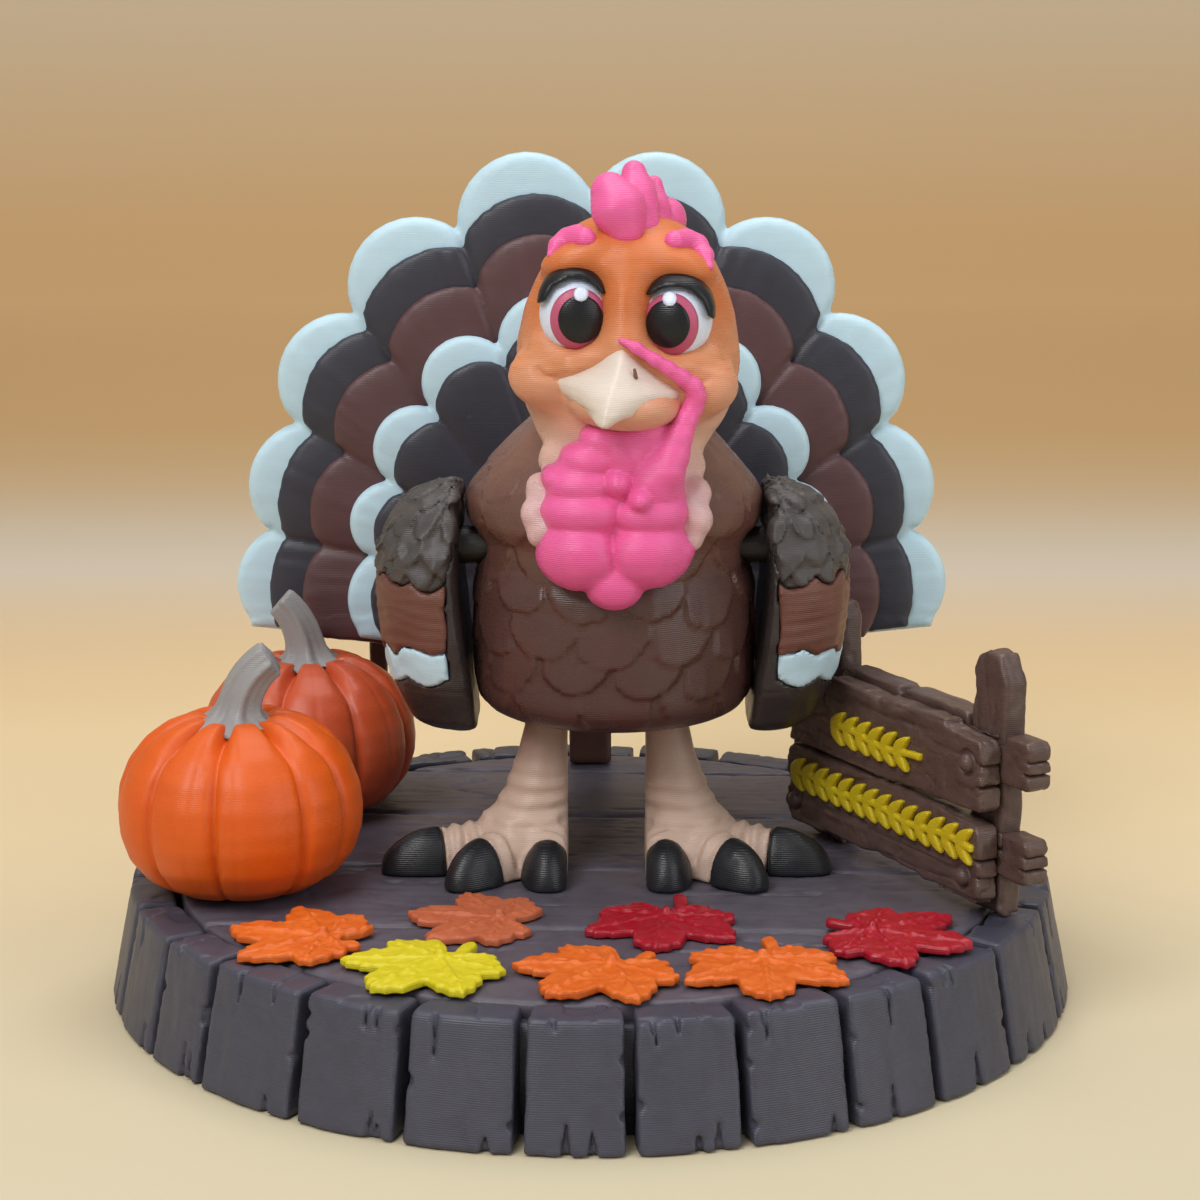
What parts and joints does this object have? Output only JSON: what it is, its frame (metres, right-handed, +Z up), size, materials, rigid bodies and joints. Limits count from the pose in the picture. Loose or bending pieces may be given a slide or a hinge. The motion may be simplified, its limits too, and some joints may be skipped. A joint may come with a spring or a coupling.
{
  "type": "turkey table figure",
  "caption": "Printed turkey with a scalloped tail fan on a round base with pumpkins, leaves and a small sign. The head turns and the wings swing.",
  "frame": {"origin": "centre of the round base's underside, on the table", "axes": "+Z up, the turkey faces -Y, +X is to the right seen from the front"},
  "size_m": [0.0998, 0.0998, 0.0846],
  "materials": {
    "base": "satin printed plastic with fine layer lines",
    "body_brown": "satin printed plastic with fine layer lines",
    "skin": "satin printed plastic with fine layer lines",
    "head_skin": "satin printed plastic with fine layer lines",
    "beak_tan": "satin printed plastic with fine layer lines",
    "eye_white": "satin printed plastic with fine layer lines",
    "black": "satin printed plastic with fine layer lines",
    "pink": "satin printed plastic with fine layer lines",
    "feather_white": "satin printed plastic with fine layer lines",
    "feather_dark": "satin printed plastic with fine layer lines",
    "feather_brown": "satin printed plastic with fine layer lines",
    "stand_brown": "satin printed plastic with fine layer lines",
    "pumpkin_orange": "satin printed plastic with fine layer lines",
    "pumpkin_red": "satin printed plastic with fine layer lines",
    "stem_grey": "satin printed plastic with fine layer lines",
    "leaf_orange": "satin printed plastic with fine layer lines",
    "leaf_copper": "satin printed plastic with fine layer lines",
    "leaf_yellow": "satin printed plastic with fine layer lines",
    "leaf_crimson": "satin printed plastic with fine layer lines",
    "sign_wood": "satin printed plastic with fine layer lines",
    "sprig_yellow": "satin printed plastic with fine layer lines",
    "nail_dark": "satin printed plastic with fine layer lines",
    "wing_dark": "satin printed plastic with fine layer lines",
    "wing_olive": "satin printed plastic with fine layer lines",
    "wing_brown": "satin printed plastic with fine layer lines"
  },
  "bodies": {
    "stand": {"base_rim": "base", "base_deck": "base", "body": "body_brown", "tail_peg": "body_brown", "leg_left": "skin", "leg_right": "skin", "fan_large_tips": "feather_white", "fan_large_dark": "feather_dark", "fan_large_brown": "feather_brown", "fan_small_tips": "feather_white", "fan_small_dark": "feather_dark", "fan_stand": "stand_brown", "pumpkin_front": "pumpkin_orange", "pumpkin_rear": "pumpkin_red", "stem_front": "stem_grey", "stem_rear": "stem_grey", "leaf_1": "leaf_orange", "leaf_2": "leaf_copper", "leaf_3": "leaf_yellow", "leaf_4": "leaf_crimson", "leaf_5": "leaf_orange", "leaf_6": "leaf_orange", "leaf_7": "leaf_crimson", "sign_post_left": "sign_wood", "sign_post_right": "sign_wood", "sign_rail_upper": "sign_wood", "sign_rail_lower": "sign_wood", "sign_board_upper": "sign_wood", "sign_board_lower": "sign_wood", "sign_sprig_upper": "sprig_yellow", "sign_sprig_lower": "sprig_yellow", "nail_left_inner": "nail_dark", "nail_left_middle": "nail_dark", "nail_left_outer": "nail_dark", "nail_right_inner": "nail_dark", "nail_right_middle": "nail_dark", "nail_right_outer": "nail_dark"},
    "head_group": {"head": "head_skin", "beak": "beak_tan", "eye_left": "eye_white", "eye_right": "eye_white", "pupil_left": "black", "pupil_right": "black", "eyelid_left": "black", "eyelid_right": "black", "brow_left": "pink", "brow_right": "pink", "comb": "pink", "wattle": "pink"},
    "wing_left_group": {"wing_left": "wing_dark", "wing_left_tuft": "wing_olive", "wing_left_patch": "wing_brown", "wing_left_band": "feather_white", "shoulder_peg_left": "wing_dark"},
    "wing_right_group": {"wing_right": "wing_dark", "wing_right_tuft": "wing_olive", "wing_right_patch": "wing_brown", "wing_right_band": "feather_white", "shoulder_peg_right": "wing_dark"}
  },
  "joints": [
    {"name": "head_swivel", "type": "hinge", "parent": "stand", "child": "head_group", "pos_m": [0.0023, 0, 0.06], "axis": [0, 0, 1], "range_deg": [-20, 20]},
    {"name": "wing_left_swing", "type": "hinge", "parent": "stand", "child": "wing_left_group", "pos_m": [-0.0134, 0, 0.0453], "axis": [-1, 0, 0], "range_deg": [-10, 95]},
    {"name": "wing_right_swing", "type": "hinge", "parent": "stand", "child": "wing_right_group", "pos_m": [0.018, 0, 0.0453], "axis": [-1, 0, 0], "range_deg": [-10, 95]}
  ]
}
